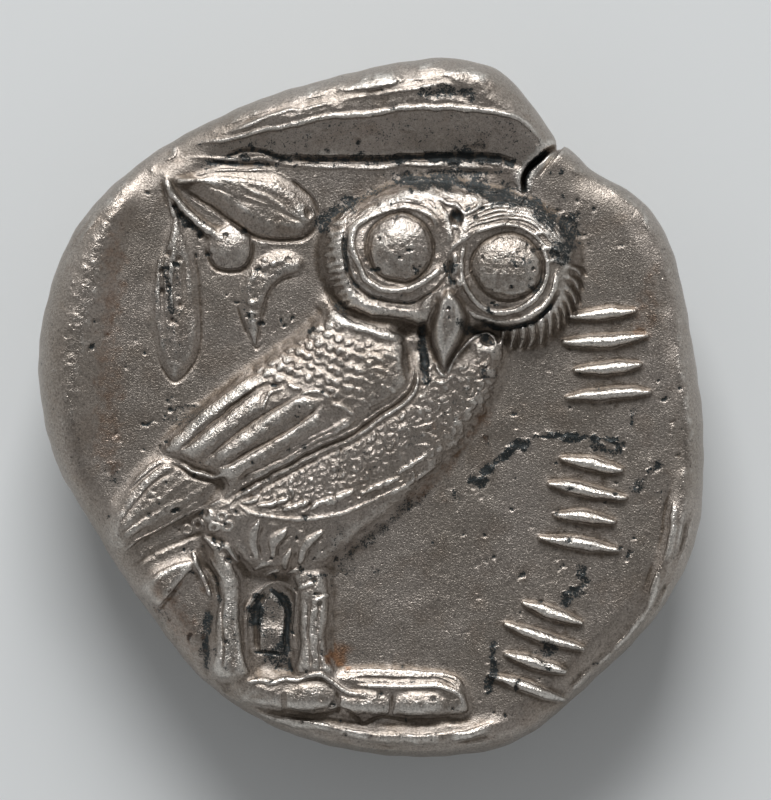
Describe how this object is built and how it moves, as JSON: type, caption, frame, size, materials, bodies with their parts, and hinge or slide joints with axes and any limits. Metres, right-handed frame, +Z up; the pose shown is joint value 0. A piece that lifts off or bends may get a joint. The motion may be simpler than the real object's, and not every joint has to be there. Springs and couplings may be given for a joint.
{
  "type": "tetradrachm coin",
  "caption": "Thick hand-struck silver coin lying flat, with an owl, olive sprig and crescent in high relief in a sunken square field.",
  "frame": {"origin": "middle of the coin's outline, on the surface that it lies on", "axes": "+Z up out of the owl side, +Y towards the top of the owl's head, +X to the right as seen from above"},
  "size_m": [0.0238, 0.025, 0.0063],
  "materials": {
    "tarnished_silver": "worn and tarnished silver with dark dirt in its hollows"
  },
  "bodies": {
    "root": {"coin": "tarnished_silver"}
  },
  "joints": []
}
